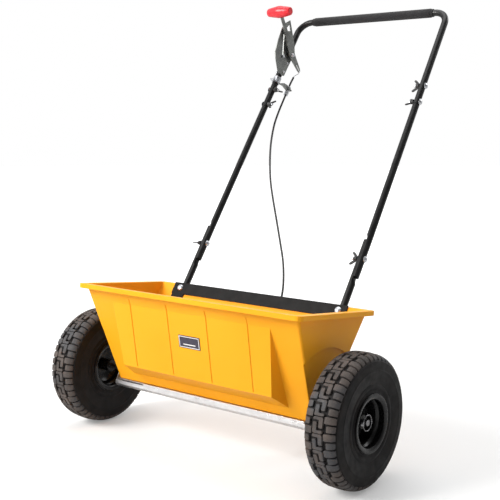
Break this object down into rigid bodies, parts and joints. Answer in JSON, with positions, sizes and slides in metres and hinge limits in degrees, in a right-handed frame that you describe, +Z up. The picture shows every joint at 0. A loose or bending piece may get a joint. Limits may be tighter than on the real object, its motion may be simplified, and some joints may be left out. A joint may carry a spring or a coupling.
{
  "type": "drop spreader",
  "caption": "Two-wheeled walk-behind drop spreader: leaned hopper, metering shutter below it, folding tube push handle and a hand lever with cable.",
  "frame": {"origin": "on the ground, under the middle of the machine's bounding box", "axes": "+Z up, +X to the right side seen from the front of the hopper with the handle behind, +Y to the rear, towards the operator"},
  "size_m": [0.788, 0.7613, 1.005],
  "materials": {
    "yellow_plastic": "moulded, slight sheen, faint draft lines",
    "black_paint": "satin black powder coat",
    "zinc_steel": "bright zinc plate",
    "grey_steel": "dull grey passivated",
    "tyre_rubber": "dusty black turf-tread rubber",
    "rim_paint": "gloss black",
    "foam": "closed-cell foam sleeve",
    "red_plastic": "moulded red plastic",
    "label": "dark plain label with a pale border",
    "black_plastic": "black plastic"
  },
  "bodies": {
    "hopper_body": {"hopper": "yellow_plastic", "name_plate": "label", "bottom_channel": "zinc_steel", "crank_bracket": "zinc_steel", "crank_bolt": "zinc_steel", "axle_bush_left": "black_plastic", "axle_bush_right": "black_plastic", "rear_stand": "black_paint", "stand_bolt_left": "zinc_steel", "stand_bolt_right": "zinc_steel", "lower_tube_left": "black_paint", "lower_tube_right": "black_paint", "cross_plate": "black_paint", "plate_bolt_lower_left": "zinc_steel", "plate_bolt_lower_right": "zinc_steel", "plate_bolt_upper_left": "zinc_steel", "plate_bolt_upper_right": "zinc_steel", "cable_wire_lower": "zinc_steel"},
    "drive_axle": {"agitator_axle": "zinc_steel", "rim_right": "rim_paint", "tyre_right": "tyre_rubber", "tyre_valve_right": "black_plastic", "lynch_pin_right": "zinc_steel", "lynch_pin_left": "zinc_steel", "drive_pin": "zinc_steel"},
    "left_wheel": {"rim_left": "rim_paint", "tyre_left": "tyre_rubber", "tyre_valve_left": "black_plastic"},
    "shutter": {"shutter_plate": "zinc_steel"},
    "crank": {"bell_crank": "zinc_steel"},
    "handle": {"mid_tube_left": "black_paint", "mid_tube_right": "black_paint", "push_bar": "black_paint", "foam_grip": "foam", "pivot_bolt_left": "zinc_steel", "pivot_bolt_right": "zinc_steel", "joint_bolt_lower_left": "zinc_steel", "joint_bolt_lower_right": "zinc_steel", "joint_bolt_upper_left": "zinc_steel", "joint_bolt_upper_right": "zinc_steel", "quadrant_plate": "grey_steel", "quadrant_bolt_lower": "zinc_steel", "quadrant_bolt_upper": "zinc_steel", "tube_clamp": "zinc_steel", "cable_arm": "grey_steel", "cable_adjuster": "zinc_steel", "lever_pivot_bolt": "zinc_steel", "cable_wire_upper": "zinc_steel", "cable_sheath": "black_plastic"},
    "lever": {"control_lever": "grey_steel", "lever_knob": "red_plastic"},
    "flow_stop": {"rate_stop": "zinc_steel"},
    "flow_stop_nut": {"rate_stop_nut": "zinc_steel"},
    "pivot_nut_left": {"pivot_wing_nut_left": "black_plastic"},
    "pivot_nut_right": {"pivot_wing_nut_right": "black_plastic"},
    "joint_nut_lower_left": {"joint_wing_nut_lower_left": "black_plastic"},
    "joint_nut_lower_right": {"joint_wing_nut_lower_right": "black_plastic"},
    "joint_nut_upper_left": {"joint_wing_nut_upper_left": "black_plastic"},
    "joint_nut_upper_right": {"joint_wing_nut_upper_right": "black_plastic"}
  },
  "joints": [
    {"name": "axle_spin", "type": "hinge", "parent": "hopper_body", "child": "drive_axle", "pos_m": [0, -0.2466, 0.134], "axis": [1, 0, 0], "continuous": true},
    {"name": "left_wheel_spin", "type": "hinge", "parent": "hopper_body", "child": "left_wheel", "pos_m": [-0.355, -0.2466, 0.134], "axis": [1, 0, 0], "continuous": true},
    {"name": "handle_fold", "type": "hinge", "parent": "hopper_body", "child": "handle", "pos_m": [0, -0.02359, 0.41211], "axis": [1, 0, 0], "range_deg": [0, 125], "deforming": ["cable_sheath"]},
    {"name": "lever_swing", "type": "hinge", "parent": "handle", "child": "lever", "pos_m": [-0.2, 0.30474, 0.88172], "axis": [1, 0, 0], "range_deg": [0, 38], "deforming": ["cable_wire_upper"]},
    {"name": "crank_turn", "type": "hinge", "parent": "hopper_body", "child": "crank", "pos_m": [0, -0.19684, 0.15341], "axis": [0, -0.9934, 0.1149], "range_deg": [0, 32.2], "deforming": ["cable_wire_lower"]},
    {"name": "shutter_slide", "type": "slide", "parent": "hopper_body", "child": "shutter", "axis": [1, 0, 0], "range_m": [0, 0.02]},
    {"name": "flow_stop_set", "type": "slide", "parent": "handle", "child": "flow_stop", "axis": [0, 0.0974, 0.9952], "range_m": [0, 0.055]},
    {"name": "flow_stop_nut_turn", "type": "hinge", "parent": "flow_stop", "child": "flow_stop_nut", "pos_m": [-0.2085, 0.27135, 0.87772], "axis": [1, 0, 0], "continuous": true},
    {"name": "pivot_nut_left_turn", "type": "hinge", "parent": "handle", "child": "pivot_nut_left", "pos_m": [-0.23245, -0.02359, 0.41211], "axis": [1, 0, 0], "continuous": true},
    {"name": "pivot_nut_right_turn", "type": "hinge", "parent": "handle", "child": "pivot_nut_right", "pos_m": [0.21595, -0.02359, 0.41211], "axis": [1, 0, 0], "continuous": true},
    {"name": "joint_nut_lower_left_turn", "type": "hinge", "parent": "handle", "child": "joint_nut_lower_left", "pos_m": [-0.20834, 0.21626, 0.75262], "axis": [1, 0, 0], "continuous": true},
    {"name": "joint_nut_lower_right_turn", "type": "hinge", "parent": "handle", "child": "joint_nut_lower_right", "pos_m": [0.21434, 0.21626, 0.75262], "axis": [1, 0, 0], "continuous": true},
    {"name": "joint_nut_upper_left_turn", "type": "hinge", "parent": "handle", "child": "joint_nut_upper_left", "pos_m": [-0.20777, 0.24246, 0.78982], "axis": [1, 0, 0], "continuous": true},
    {"name": "joint_nut_upper_right_turn", "type": "hinge", "parent": "handle", "child": "joint_nut_upper_right", "pos_m": [0.21377, 0.24246, 0.78982], "axis": [1, 0, 0], "continuous": true}
  ],
  "couplings": [
    {"joint": "crank_turn", "follows": "lever_swing", "ratio": 0.8473},
    {"joint": "shutter_slide", "follows": "lever_swing", "m_per_rad": 0.03015}
  ]
}
